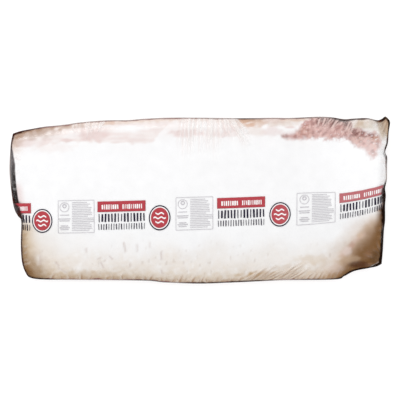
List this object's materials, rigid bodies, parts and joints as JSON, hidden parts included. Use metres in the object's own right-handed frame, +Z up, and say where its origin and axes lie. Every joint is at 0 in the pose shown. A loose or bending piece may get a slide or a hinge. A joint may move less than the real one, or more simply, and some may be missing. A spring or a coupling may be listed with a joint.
{
  "type": "vacuum-packed pork belly slab",
  "caption": "Whole skinless pork belly, a long flat slab with its white fat side up, shrunk tight in a clear film bag with a band of plain printed blocks along it.",
  "frame": {"origin": "on the resting plane, under the middle of the pack's box", "axes": "+X along the belly towards the bag's sealed end, +Y across it towards the edge with the lean patch, +Z up out of the fat side"},
  "size_m": [0.6432, 0.282, 0.0476],
  "materials": {
    "filmed_fat": "white fat under glossy clear film",
    "belly_meat": "moist white fat and mauve lean, slightly uneven",
    "shrink_film": "clear glossy film, wrinkled",
    "red_ink": "printed on film",
    "dark_ink": "printed on film",
    "grey_ink": "printed on film",
    "white_ink": "printed on film"
  },
  "bodies": {
    "root": {"vacuum_pack": "filmed_fat"}
  },
  "joints": []
}
